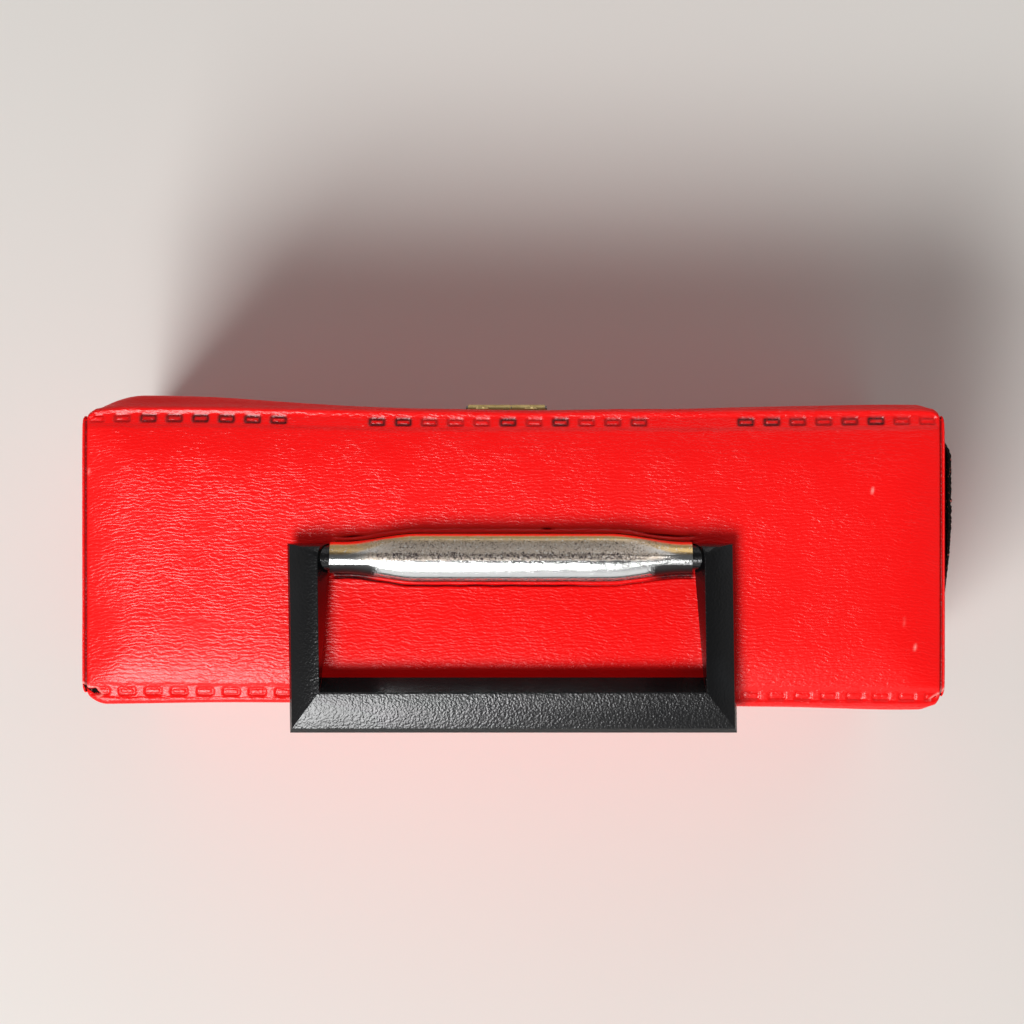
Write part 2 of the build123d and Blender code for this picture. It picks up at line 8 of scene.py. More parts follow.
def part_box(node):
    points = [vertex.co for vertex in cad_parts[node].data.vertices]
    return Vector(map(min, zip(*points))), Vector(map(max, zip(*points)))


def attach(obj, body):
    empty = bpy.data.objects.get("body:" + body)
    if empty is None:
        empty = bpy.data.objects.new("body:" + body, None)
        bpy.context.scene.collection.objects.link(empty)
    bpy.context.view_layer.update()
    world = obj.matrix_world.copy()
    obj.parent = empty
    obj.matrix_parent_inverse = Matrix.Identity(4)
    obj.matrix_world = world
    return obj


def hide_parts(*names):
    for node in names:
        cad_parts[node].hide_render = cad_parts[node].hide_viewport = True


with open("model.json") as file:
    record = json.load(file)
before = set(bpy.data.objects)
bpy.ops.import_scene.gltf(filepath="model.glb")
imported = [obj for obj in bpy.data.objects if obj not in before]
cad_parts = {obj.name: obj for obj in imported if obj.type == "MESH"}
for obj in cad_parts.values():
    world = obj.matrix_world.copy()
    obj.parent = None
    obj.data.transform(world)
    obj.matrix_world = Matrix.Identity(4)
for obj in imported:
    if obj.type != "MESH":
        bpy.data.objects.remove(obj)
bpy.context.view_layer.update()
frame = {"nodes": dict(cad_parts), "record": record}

# Cassette tape case in red leathercloth, seen from straight above with the latch side up.
# Places are in metres in the frame's own axes; sizes in the dictionaries are millimetres.
mm = 0.001


def box(node):
    # a node's corners at rest, in millimetres
    low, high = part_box(node)
    return [v / mm for v in low], [v / mm for v in high]


def held(value):
    # kept between 0 and 1
    return min(max(value, 0), 1)


def smooth(start, end, value):
    share = held((value - start) / (end - start))
    return share * share * (3 - 2 * share)


def bell(value, centre, spread):
    return math.exp(-((value - centre) / spread) ** 2)


def wander(x, y, z, size, seed=0):
    # soft noise from -1 to 1, its lumps about size millimetres across
    return noise.noise(Vector((x / size + seed * 17.3, y / size, z / size)))


def linearColour(hexColour):
    def channel(value):
        value /= 255
        return value / 12.92 if value <= 0.04045 else ((value + 0.055) / 1.055) ** 2.4
    number = int(hexColour.lstrip("#"), 16)
    return (*[channel(number >> shift & 255) for shift in (16, 8, 0)], 1)


def addNode(tree, kind, settings=None, inputs=None, output=0):
    # one shader node with its settings, plain input values and links; gives one of its outputs
    node = tree.nodes.new("ShaderNode" + kind)
    for name, value in (settings or {}).items():
        setattr(node, name, value)
    setInputs(tree, node, inputs or {})
    return node.outputs[output]


def setInputs(tree, node, inputs):
    # a value is another node's output, a hex colour or plain numbers
    for name, value in inputs.items():
        if isinstance(value, bpy.types.NodeSocket):
            tree.links.new(value, node.inputs[name])
        else:
            plain = linearColour(value) if isinstance(value, str) else value
            node.inputs[name].default_value = plain


# Node settings: a mix of two colours, a product, and a product with a sum
colours = {"data_type": "RGBA"}
times = {"operation": "MULTIPLY"}
timesPlus = {"operation": "MULTIPLY_ADD"}


def newMaterial(name):
    material = bpy.data.materials.new(name)
    material.use_nodes = True
    return material, material.node_tree, material.node_tree.nodes["Principled BSDF"]


def placeInMm(tree, stretch=(1, 1, 1)):
    # the piece's own coordinates in millimetres, divided by a stretch along each axis
    place = addNode(tree, "TexCoord", output="Object")
    return addNode(tree, "VectorMath", times, {0: place, 1: [1 / (mm * s) for s in stretch]})


vinyl = {
    "red": "#F90404",            # PVC leathercloth, dyed through: very saturated
    "redDeep": "#F10303",
    "grimeAndShade": "#1C0204",            # grime with painted shade in the welded windows; painted shade in the slits, behind the clip's ends and in the end grooves
    "worn": "#FFA49C",           # cracked pale edges of the tears, and a few nicks
    "ridge": 0.95,               # spacing of the wavy embossed ridges
    "ridgeLength": 1.9,
    "ridgeDepth": 0.11,
    "bodyShare": 0.6,            # how much of the ridges shows in the dyed body
    "bends": (13.0, 18.0),       # how far fine and broad noise bend the ridges
    "waveHeight": 0.24,
    "brokenHeight": 1.15,        # the ridges are broken up by noise of this height
    "pore": 0.5,
    "poreDepth": 0.02,
    "coat": 0.85,
    "coatRoughness": 0.3,
}


def leathercloth(name, along=0):
    # calendered PVC on cloth: dyed body under a satin topcoat that carries the fine wavy grain.
    # The ridges run along one axis, 0 or 1, and follow each other up the walls and over the top.
    # The attribute tint holds grime with painted shade, paleness and dullness.
    material, tree, shader = newMaterial(name)
    plain = placeInMm(tree)
    stretch = [1.0] * 3
    stretch[along] = vinyl["ridgeLength"] / vinyl["ridge"]
    drawn = placeInMm(tree, stretch)
    drift = addNode(tree, "TexNoise", None,
                    {"Vector": drawn, "Scale": 0.87, "Detail": 2, "Roughness": 0.55})
    swirl = addNode(tree, "TexNoise", None, {"Vector": plain, "Scale": 1 / 7, "Detail": 1})
    broken = addNode(tree, "TexNoise", None,
                     {"Vector": drawn, "Scale": 1.6, "Detail": 2, "Roughness": 0.55})
    axes = addNode(tree, "SeparateXYZ", None, {0: plain}).node
    across = addNode(tree, "Math", {"operation": "ADD"},
                     {0: axes.outputs[1 - along], 1: axes.outputs[2]})
    phase = addNode(tree, "Math", times, {0: across, 1: 2 * math.pi / vinyl["ridge"]})
    phase = addNode(tree, "Math", timesPlus, {0: drift, 1: vinyl["bends"][0], 2: phase})
    phase = addNode(tree, "Math", timesPlus, {0: swirl, 1: vinyl["bends"][1], 2: phase})
    wave = addNode(tree, "Math", {"operation": "SINE"}, {0: phase})
    wave = addNode(tree, "Math", times, {0: wave, 1: vinyl["waveHeight"]})
    height = addNode(tree, "Math", timesPlus, {0: broken, 1: vinyl["brokenHeight"], 2: wave})
    patches = addNode(tree, "TexNoise", None, {"Vector": plain, "Scale": 1 / 11, "Detail": 2})
    patches = addNode(tree, "MapRange", None,
                      {"Value": patches, "From Min": 0.3, "From Max": 0.65, "To Min": 0.45})
    height = addNode(tree, "Math", times, {0: height, 1: patches})

    tint = addNode(tree, "Attribute", {"attribute_name": "tint"})
    parts = addNode(tree, "SeparateColor", None, {0: tint}).node
    broad = addNode(tree, "TexNoise", None, {"Vector": plain, "Scale": 1 / 30, "Detail": 2})
    colour = addNode(tree, "Mix", colours, {0: broad, 6: vinyl["red"], 7: vinyl["redDeep"]}, 2)
    colour = addNode(tree, "Mix", colours, {0: parts.outputs[1], 6: colour, 7: vinyl["worn"]}, 2)
    spotty = addNode(tree, "TexNoise", None, {"Vector": plain, "Scale": 1.4, "Detail": 2})
    spotty = addNode(tree, "MapRange", None,
                     {"Value": spotty, "From Min": 0.25, "From Max": 0.5, "To Min": 0.75})
    # grime and painted shade in recesses, broken up by spots
    grimeAndShade = addNode(tree, "Math", times, {0: parts.outputs[0], 1: spotty})
    colour = addNode(tree, "Mix", colours, {0: grimeAndShade, 6: colour, 7: vinyl["grimeAndShade"]}, 2)
    coat = addNode(tree, "MapRange", None,
                   {"Value": parts.outputs[2], "To Min": vinyl["coat"], "To Max": 0.0})

    pores = addNode(tree, "TexNoise", None,
                    {"Vector": plain, "Scale": 1 / vinyl["pore"], "Detail": 1})
    fine = addNode(tree, "Bump", None, {"Height": pores, "Distance": vinyl["poreDepth"] * mm})
    body = addNode(tree, "Bump", None,
                   {"Height": height, "Distance": vinyl["ridgeDepth"] * vinyl["bodyShare"] * mm})
    skin = addNode(tree, "Bump", None,
                   {"Height": height, "Distance": vinyl["ridgeDepth"] * mm, "Normal": fine})
    setInputs(tree, shader, {"Base Color": colour, "Roughness": 0.55, "Specular IOR Level": 0.05,
                             "Normal": body, "Coat Weight": coat, "Coat IOR": 1.45,
                             "Coat Roughness": vinyl["coatRoughness"], "Coat Normal": skin})
    return material


clipFinish = {
    "chrome": "#E6E7E6",
    "warmReflection": "#E6BE74",         # a painted warm reflection on the front flank
    "dull": "#C3B09C",           # the rubbed flat, etched grey-brown
    "rust": "#2B2024",
    # grime with painted shadow towards the clip's ends, and a painted dark reflection along its
    # rear foot
    "grimeAndShadow": "#060505",
    "pit": 0.5,
}


def pittedChrome():
    # bright chrome over nickel on steel: mirror-like behind, with a painted warm reflection in
    # front, and pitted.
    # The attribute tint holds the painted warm reflection, rubbing with pits, and grime with
    # painted shadow.
    material, tree, shader = newMaterial("pittedChrome")
    plain = placeInMm(tree)
    tint = addNode(tree, "Attribute", {"attribute_name": "tint"})
    parts = addNode(tree, "SeparateColor", None, {0: tint}).node
    pits = addNode(tree, "TexNoise", None, {"Vector": plain, "Scale": 1 / clipFinish["pit"],
                                            "Detail": 3, "Roughness": 0.7, "Distortion": 1.2})
    cloud = addNode(tree, "TexNoise", None, {"Vector": plain, "Scale": 0.16, "Detail": 3})
    ragged = addNode(tree, "Math", timesPlus, {0: parts.outputs[1], 1: 0.17, 2: pits})
    ragged = addNode(tree, "Math", timesPlus, {0: cloud, 1: 0.12, 2: ragged})
    pitted = addNode(tree, "MapRange", None, {"Value": ragged, "From Min": 0.7, "From Max": 0.76})
    colour = addNode(tree, "Mix", colours,
                     {0: parts.outputs[0], 6: clipFinish["chrome"], 7: clipFinish["warmReflection"]}, 2)
    rubbed = addNode(tree, "MapRange", None,
                     {"Value": parts.outputs[1], "From Max": 0.5, "To Max": 0.85})
    colour = addNode(tree, "Mix", colours, {0: rubbed, 6: colour, 7: clipFinish["dull"]}, 2)
    flecks = addNode(tree, "MapRange", None,
                     {"Value": pits, "From Min": 0.36, "From Max": 0.42, "To Min": 1, "To Max": 0})
    colour = addNode(tree, "Mix", colours, {0: pitted, 6: colour, 7: clipFinish["rust"]}, 2)
    colour = addNode(tree, "Mix", colours, {0: flecks, 6: colour, 7: clipFinish["chrome"]}, 2)
    # grime with painted shadow and painted dark reflection, mottled by the pits
    grimeShadowBlot = addNode(tree, "Math", timesPlus, {0: parts.outputs[2], 1: 0.75, 2: pits})
    grimeShadowBlot = addNode(tree, "MapRange", None, {"Value": grimeShadowBlot, "From Min": 0.78, "From Max": 0.9})
    colour = addNode(tree, "Mix", colours, {0: grimeShadowBlot, 6: colour, 7: clipFinish["grimeAndShadow"]}, 2)
    spoilt = addNode(tree, "Math", {"operation": "MAXIMUM"}, {0: pitted, 1: grimeShadowBlot})
    metal = addNode(tree, "MapRange", None, {"Value": spoilt, "To Min": 1.0, "To Max": 0.1})
    rough = addNode(tree, "Math", timesPlus, {0: rubbed, 1: 0.3, 2: 0.13})
    rough = addNode(tree, "Math", timesPlus, {0: spoilt, 1: 0.35, 2: rough})
    bump = addNode(tree, "Bump", None, {"Height": pits, "Distance": 0.035 * mm})
    setInputs(tree, shader, {"Base Color": colour, "Metallic": metal, "Roughness": rough,
                             "Normal": bump})
    return material


def platedBrass():
    # brass plate on pressed steel: warm, half bright, dulled a little in small blotches
    material, tree, shader = newMaterial("platedBrass")
    plain = placeInMm(tree)
    blotch = addNode(tree, "TexNoise", None,
                     {"Vector": plain, "Scale": 0.3, "Detail": 4, "Roughness": 0.65})
    worn = addNode(tree, "MapRange", None,
                   {"Value": blotch, "From Min": 0.42, "From Max": 0.75, "To Max": 0.75})
    colour = addNode(tree, "Mix", colours, {0: worn, 6: "#DCC285", 7: "#A98A54"}, 2)
    rough = addNode(tree, "MapRange", None,
                    {"Value": blotch, "From Min": 0.35, "From Max": 0.7,
                     "To Min": 0.27, "To Max": 0.45})
    lines = addNode(tree, "TexNoise", None,
                    {"Vector": placeInMm(tree, (5, 1, 1)), "Scale": 2.6, "Detail": 2})
    bump = addNode(tree, "Bump", None, {"Height": lines, "Distance": 0.02 * mm})
    setInputs(tree, shader, {"Base Color": colour, "Metallic": 1.0, "Roughness": rough,
                             "Normal": bump})
    return material


handleFinish = {
    "black": "#070708",
    "rubbed": "#101113",
    "cell": 0.62,              # pebbled leather grain moulded into the plastic
    "depth": 0.035,
    "roughness": 0.22,
}


def mouldedAbs(name, depth, roughness):
    # black ABS: a moulded pebble grain outside, rubbed by hands, and smooth inside the ring
    material, tree, shader = newMaterial(name)
    plain = placeInMm(tree)
    bend = addNode(tree, "TexNoise", None, {"Vector": plain, "Scale": 0.8, "Detail": 1}, "Color")
    bent = addNode(tree, "VectorMath", {"operation": "ADD"}, {0: plain, 1: bend})
    cells = addNode(tree, "TexVoronoi", {"feature": "SMOOTH_F1"},
                    {"Vector": bent, "Scale": 1 / handleFinish["cell"], "Smoothness": 0.5})
    height = addNode(tree, "MapRange", None, {"Value": cells, "From Min": 0.15, "From Max": 0.75,
                                              "To Min": 1, "To Max": 0})
    rub = addNode(tree, "TexNoise", None, {"Vector": plain, "Scale": 0.07, "Detail": 2})
    rub = addNode(tree, "MapRange", None, {"Value": rub, "From Min": 0.45, "From Max": 0.7})
    colour = addNode(tree, "Mix", colours,
                     {0: rub, 6: handleFinish["black"], 7: handleFinish["rubbed"]}, 2)
    rough = addNode(tree, "MapRange", None,
                    {"Value": rub, "To Min": roughness + 0.04, "To Max": roughness})
    bump = addNode(tree, "Bump", None, {"Height": height, "Distance": depth * mm})
    setInputs(tree, shader, {"Base Color": colour, "Roughness": rough, "Normal": bump})
    return material


def greyboard():
    # pressed recycled board: fibrous, dull, warm grey
    material, tree, shader = newMaterial("greyboard")
    plain = placeInMm(tree)
    fibre = addNode(tree, "TexNoise", None, {"Vector": plain, "Scale": 1.4, "Detail": 3})
    cloud = addNode(tree, "TexNoise", None, {"Vector": plain, "Scale": 0.17, "Detail": 2})
    colour = addNode(tree, "Mix", colours, {0: cloud, 6: "#8A7B66", 7: "#6F6454"}, 2)
    pale = addNode(tree, "MapRange", None,
                   {"Value": fibre, "From Min": 0.55, "From Max": 0.7, "To Max": 0.5})
    colour = addNode(tree, "Mix", colours, {0: pale, 6: colour, 7: "#A8997F"}, 2)
    bump = addNode(tree, "Bump", None, {"Height": fibre, "Distance": 0.06 * mm})
    setInputs(tree, shader, {"Base Color": colour, "Roughness": 0.88, "Normal": bump})
    return material


def formedPolystyrene(name, dark, light, lump):
    # thin formed polystyrene: a satin skin with faint flow marks and a fine tooth
    material, tree, shader = newMaterial(name)
    plain = placeInMm(tree)
    flow = addNode(tree, "TexNoise", None, {"Vector": plain, "Scale": 1 / lump, "Detail": 2})
    flow = addNode(tree, "MapRange", None, {"Value": flow, "From Min": 0.35, "From Max": 0.7})
    fine = addNode(tree, "TexNoise", None, {"Vector": plain, "Scale": 2, "Detail": 2})
    colour = addNode(tree, "Mix", colours, {0: flow, 6: dark, 7: light}, 2)
    rough = addNode(tree, "MapRange", None, {"Value": flow, "To Min": 0.38, "To Max": 0.48})
    bump = addNode(tree, "Bump", None, {"Height": fine, "Distance": 0.02 * mm})
    setInputs(tree, shader, {"Base Color": colour, "Roughness": rough, "Normal": bump})
    return material


def mottled(name, patches, hues, grain, depth, inputs, stretch=(1, 1, 1)):
    # two colours mixed by patches (a noise's scale, its detail and the range that mixes them)
    # under a relief of grain (scale and detail), with the shader's other inputs
    material, tree, shader = newMaterial(name)
    place = placeInMm(tree, stretch)
    scale, detail, low, high = patches
    blotch = addNode(tree, "TexNoise", None, {"Vector": place, "Scale": scale, "Detail": detail})
    blotch = addNode(tree, "MapRange", None, {"Value": blotch, "From Min": low, "From Max": high})
    colour = addNode(tree, "Mix", colours, {0: blotch, 6: hues[0], 7: hues[1]}, 2)
    fine = addNode(tree, "TexNoise", None, {"Vector": place, "Scale": grain[0], "Detail": grain[1]})
    bump = addNode(tree, "Bump", None, {"Height": fine, "Distance": depth * mm})
    setInputs(tree, shader, {"Base Color": colour, "Normal": bump, **inputs})
    return material


materials = {
    "redVinyl": leathercloth("redLeathercloth"),
    "endVinyl": leathercloth("redLeatherclothEnds", along=1),
    # the leathercloth's woven cotton back, black, with a few red flecks; at the loose end sheet's
    # edge the black is painted shade and the red flecks are painted glints of its grain
    "backingAndShade": mottled("cottonBackingAndShade", (1.2, 1, 0.64, 0.7), ("#0B0A09", "#A0564E"), (2.9, 2),
                       0.15, {"Roughness": 0.95, "Specular IOR Level": 0.15}),
    "chrome": pittedChrome(),
    "brass": platedBrass(),
    # bright drawn wire, greyed by handling, with fine lines along the drawing
    "steel": mottled("drawnSteel", (3.3, 2, 0, 1), ("#9A9791", "#6B6863"), (3.3, 2),
                     0.01, {"Metallic": 1.0, "Roughness": 0.36}, (6, 1, 1)),
    "handle": mouldedAbs("mouldedAbs", handleFinish["depth"], handleFinish["roughness"]),
    "smoothAbs": mouldedAbs("smoothAbs", 0.004, 0.16),
    "board": greyboard(),
    # black flocked paper: a short velvety nap, a little greyed where it is brushed
    "lining": mottled("flockedPaper", (0.11, 3, 0.35, 0.7), ("#151517", "#26262A"), (3.3, 2),
                      0.12, {"Roughness": 0.95, "Sheen Weight": 0.5, "Sheen Roughness": 0.4}),
    "rack": formedPolystyrene("blackPolystyrene", "#131315", "#1B1C1F", 12),
    "divider": formedPolystyrene("greyPolystyrene", "#26282C", "#33363B", 7),
    # cream foam with open cells
    "foam": mottled("polyurethaneFoam", (1.7, 3, 0, 1), ("#E2D6A8", "#B9A873"), (1.7, 3),
                    0.2, {"Roughness": 0.95}),
}
slotFinish = {"red_vinyl": "redVinyl", "case_board": "board", "padding_foam": "foam",
              "lining_paper": "lining", "rack_plastic": "rack", "divider_plastic": "divider",
              "clip_chrome": "chrome", "fitting_brass": "brass", "pin_steel": "steel",
              "handle_plastic": "handle"}
nodeFacts = {entry["node"]: entry for entry in frame["record"]["subparts"]}


def slotOf(node):
    return nodeFacts[node]["material_slot"]


def bodyOf(node):
    bodies = frame["record"]["behaviour"]["bodies"]
    return next(body for body, nodes in bodies.items() if node in nodes)


for name, node in frame["nodes"].items():
    node.data.materials.clear()
    node.data.materials.append(materials[slotFinish[slotOf(name)]])
print("finishes on the frame's nodes")


def makeMesh(name, points, faces, finishes, body, marks=None, tints=None):
    # a new piece from points in millimetres; marks give each face's finish number and
    # tints each point's three values, from 0 to 1, that its finish reads
    mesh = bpy.data.meshes.new(name)
    mesh.from_pydata([[c * mm for c in p] for p in points], [], faces)
    for finish in finishes:
        mesh.materials.append(materials[finish])
    if marks:
        mesh.polygons.foreach_set("material_index", marks)
    mesh.polygons.foreach_set("use_smooth", [True] * len(mesh.polygons))
    if tints:
        layer = mesh.attributes.new("tint", "FLOAT_COLOR", "POINT")
        layer.data.foreach_set("color", [c for t in tints for c in (*t, 1)])
    mesh.update()
    piece = bpy.data.objects.new(name, mesh)
    bpy.context.collection.objects.link(piece)
    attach(piece, body)
    return piece


def thicken(piece, thickness, rim=None):
    # gives a sheet its thickness, inward from its drawn face; rim is the finish number of the rest
    solid = piece.modifiers.new("sheet", "SOLIDIFY")
    solid.thickness = thickness * mm
    solid.offset = -1
    if rim is not None:
        solid.material_offset = rim
        solid.material_offset_rim = rim


def dressed(node, change):
    # a changed copy of a node's shape, which stands for the node
    source = frame["nodes"][node]
    shape = bmesh.new()
    shape.from_mesh(source.data)
    change(shape)
    mesh = bpy.data.meshes.new(node + "_dressed")
    shape.to_mesh(mesh)
    shape.free()
    mesh.materials.append(source.data.materials[0])
    piece = bpy.data.objects.new(node + "_dressed", mesh)
    bpy.context.collection.objects.link(piece)
    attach(piece, bodyOf(node))
    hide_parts(node)
    return piece


# Angles between faces, in degrees: flatter ones are joined, steeper ones broken or kept crisp
edgeAngles = {"joined": 0.8, "broken": 28, "crisp": 35}


def joinFlat(shape):
    bmesh.ops.remove_doubles(shape, verts=shape.verts, dist=0.001 * mm)
    bmesh.ops.dissolve_limit(shape, angle_limit=math.radians(edgeAngles["joined"]),
                             verts=shape.verts, edges=shape.edges)


def softened(node, radius, segments=2):
    # a node's shape with its hard edges broken
    piece = dressed(node, joinFlat)
    bevel = piece.modifiers.new("edges", "BEVEL")
    bevel.width = radius * mm
    bevel.segments = segments
    bevel.limit_method = "ANGLE"
    bevel.angle_limit = math.radians(edgeAngles["broken"])
    mesh = piece.data
    mesh.polygons.foreach_set("use_smooth", [True] * len(mesh.polygons))
    mesh.set_sharp_from_angle(angle=math.radians(edgeAngles["crisp"]))
    return piece


def gridFaces(rows, columns):
    return [(r * columns + c, r * columns + c + 1, (r + 1) * columns + c + 1, (r + 1) * columns + c)
            for r in range(rows - 1) for c in range(columns - 1)]


def spread(start, end, step):
    count = max(1, round(abs(end - start) / step))
    return [start + (end - start) * i / count for i in range(count + 1)]


# Sizes read from the frame, in millimetres
wrapLow, wrapHigh = box("lid_wrap_cover")
boardLow, boardHigh = box("lid_top_board")
handleLow, handleHigh = box("handle")
bottomHigh = box("base_bottom_cover")[1]
case = {
    "halfLength": bottomHigh[0],
    "halfWidth": bottomHigh[1],
    "sheet": bottomHigh[2],
    "wrapHalf": wrapHigh[0],
    "lidRim": wrapLow[2],
    "baseRim": box("base_front_cover")[1][2],
    "crownTop": wrapHigh[2],
    "clipHalf": box("handle_clip")[1][0],
    "barZ": (handleLow[2] + handleHigh[2]) / 2,
    "boardFoot": boardLow[2],
    "boardTop": boardHigh[2],
}

# Lid: the sheet wrapped over front, top and rear, pulled over foam and welded along both edges
lidWrap = {
    "step": 0.37,                    # between columns of points along the case
    "wallSteps": 24,
    "shoulder": 1.6,                 # radius where wall and top meet
    "shoulderSteps": 6,
    "shoulderTurn": 69,              # degrees
    "turnIn": 1.9,                   # how far the sheet is turned in under the rim
    "rimRound": 0.4,
    "rise": 2.6,                     # of the crown, over two distances from the edges
    "run": 14.0,
    "pillow": 24.0,
    "hip": 2.4,                      # how sharply the falls from two edges meet
    "levelEnd": 112,                 # past this x the section doesn't change
    "dented": (22, 15.15),           # where the top starts to follow a dented wall, and how far on
    "crush": (89, 109),              # heights between which dents in the walls set in
    "bulgeFoot": {-1: 88, 1: 99},
    "bulgeRise": 19,
    "bulgeHead": (111, 118.6),
    "ripple": (0.14, 23),            # height and size of the sheet's slack waves
    "dents": (0.22, 34),             # depth and size of the crown's dents
}
# The two welded rows of windows, front (-1) and rear (1)
rows = {
    "front": -35.3,                  # the front row's middle, and how it bends at both ends
    "frontBends": ((1.1, 25, 90, 1), (0.45, 50, 112, -1)),
    "rear": (36.6, 35.0),
    "groups": ((108.75, -6.79, 8), (35.55, -6.83, 11), (-60.55, -6.79, 8)),
    "rearShift": -1.3,
    "window": (4.3, 2.05),
    "corner": 0.55,
    "depth": 0.45,
    "barHeight": 0.3,
    "postDrop": 0.38,                # of the strip along a row, and its edge
    "stepWidth": 1.6,
    "ring": {-1: (-0.3, 0.47), 1: (-0.12, 0.22)},   # where a window's channel is, and its width
    # dirt and painted shade in the rear row's channels
    "rearDirtAndShade": 0.15,
}
# The two slits that the clip goes through
slit = {
    "play": 0.12,
    "cut": 1.25,                     # the open cut's distance from the clip
    "cutWidth": 0.24,
    "cutDepth": 0.9,
    "lip": (0.55, 0.4),              # the raised lip's distance and width
    "front": 0.15,                   # how open the front slit is between its open places
    "rear": (0.6, -26, -10),
    "rearShadow": (33, 39),            # where painted shadow darkens the vinyl behind the rear slit, towards both ends
}
# How dark each window's channel in the front row is, with dirt and painted shade, from the
# picture's left to its right
frontDirtAndShade = (0.15, 0.4, 0.75, 0.7, 1.0, 0.8, 1.0, 0.9,
             0.95, 0.8, 0.5, 0.4, 0.35, 1.0, 0.35, 1.0, 0.4, 0.5, 0.6,
             0.9, 0.95, 0.6, 0.5, 0.65, 1.0, 0.4, 0.25)
# Where the loose sheet stands out from each long wall: place, width and height of each swell
swells = {-1: ((96, 48, 3.85), (-95, 40, 1.4), (0, 26, -0.3)),
          1: ((-100, 30, 2.3), (-52, 22, 0.8), (66, 34, -0.6))}
# The corners seen from above: where each starts to turn and how quickly it turns in
corners = {(-1, 1): (97.0, 0.0242), (-1, -1): (105.5, 0.075),
           (1, 1): (106.0, 0.088), (1, -1): (106.0, 0.12)}
# The clip's half width at its ends and middle, here and as its solid has it
clipForm = {"endHalf": 4.08, "midHalf": 6.15, "stretch": 2.6, "midLength": 24.5, "sheet": 0.8,
            "solidSwell": 2.12, "solidLengths": (33.4, 15)}
# Open places along the front slit: middle, half length and strength of each
frontCuts = ((-39.5, 6.5, 0.8), (42, 2.6, 0.7), (-8.7, 1.3, 0.75))
# Small pale nicks on the top
nicks = ((110.6, -21.9), (-93.2, -17.4), (-101.5, 16.7), (-104.4, 23.7))
# Tears at the two rear corners, as outlines on the lid
tears = (((112.9, 33.5), (112.2, 33.0), (110.9, 34.3), (108.8, 34.4), (107.5, 36.0), (108.3, 36.3),
          (110.4, 36.1), (111.8, 35.1)),
         ((-112.6, 34.3), (-113.4, 35.0), (-111.2, 36.9), (-109.3, 37.7), (-109.0, 37.3),
          (-109.8, 36.7), (-111.3, 36.0)))


def clipHalfWidth(x):
    share = smooth(case["clipHalf"] - clipForm["stretch"], clipForm["midLength"], abs(x))
    return clipForm["endHalf"] + (clipForm["midHalf"] - clipForm["endHalf"]) * share


def solidHalfWidth(x):
    return clipForm["endHalf"] + clipForm["solidSwell"] * smooth(*clipForm["solidLengths"], abs(x))


def crownHeight(x, y):
    # hipped swell: level in the middle, falling on an arc towards all four edges
    def drop(place, edge):
        near = held(1 - (edge - abs(place)) / lidWrap["run"])
        far = held(1 - (edge - abs(place)) / lidWrap["pillow"])
        return lidWrap["rise"] * (0.5 * near ** 2 + 0.5 * far ** 2)
    hip = lidWrap["hip"]
    fall = (drop(x, case["wrapHalf"]) ** hip + drop(y, case["halfWidth"] - 1) ** hip) ** (1 / hip)
    return case["crownTop"] - fall


def netOut(side, x):
    # how far the sheet stands out from a long wall at most: side is -1 at the front
    start, growth = corners[(side, 1 if x > 0 else -1)]
    out = sum(height * bell(x, place, width) for place, width, height in swells[side])
    return out - growth * max(abs(x) - start, 0) ** 2


def wallOut(side, x, z):
    # how far the sheet stands out from a long wall at each height
    net = netOut(side, x)
    if net < 0:
        return net * smooth(*lidWrap["crush"], z)
    foot = lidWrap["bulgeFoot"][side]
    swell = smooth(foot, foot + lidWrap["bulgeRise"], z)
    return net * swell * (1 - 0.75 * smooth(*lidWrap["bulgeHead"], z))


def rowPlace(side, x):
    # the middle of a welded row
    if side < 0:
        place = rows["front"]
        for bend, start, end, way in rows["frontBends"]:
            place -= bend * smooth(start, end, way * x)
        return place
    right, left = rows["rear"]
    return left + (right - left) * (case["halfLength"] - x) / (2 * case["halfLength"])


def windowAt(side, x, y):
    # relief of the welded row in millimetres, and how dark its channel is with dirt and painted
    # shade
    middleY = rowPlace(side, x)
    inward = side * (middleY - y)
    if abs(inward) > 5:
        return 0, 0
    crease = 0.35 * wander(x, 0, side * 5, 3.2, 3) + 0.2 * wander(x, 0, side, 1.1, 8)
    relief = -rows["postDrop"] * (smooth(1.3 + rows["stepWidth"] + crease, 1.2, inward)
                                  - 0.75 * smooth(-1.2, -1.9, inward))
    ring, ringWidth = rows["ring"][side]
    corner = rows["corner"]
    grimeAndShade = 0
    number = 0
    for first, pitch, count in rows["groups"]:
        first += rows["rearShift"] if side > 0 else 0
        index = min(max(round((x - first) / pitch), 0), count - 1)
        u = abs(x - first - index * pitch) - rows["window"][0] / 2
        v = abs(y - middleY) - rows["window"][1] / 2
        if u < 1.5:
            # d is the distance out from the window's rounded outline
            d = (math.hypot(max(u + corner, 0), max(v + corner, 0))
                 + min(max(u, v) + corner, 0) - corner)
            # dirt with painted shade in the window's channel
            dirtAndShade = frontDirtAndShade[number + index] if side < 0 else rows["rearDirtAndShade"]
            grimeAndShade = min(1.25 * dirtAndShade, 1) * bell(d, ring, ringWidth)
            relief -= rows["depth"] * smooth(0.3, -0.3, d)
            relief += rows["barHeight"] * smooth(ring - 0.15, ring - 0.45, d)
        number += count
    return relief, grimeAndShade


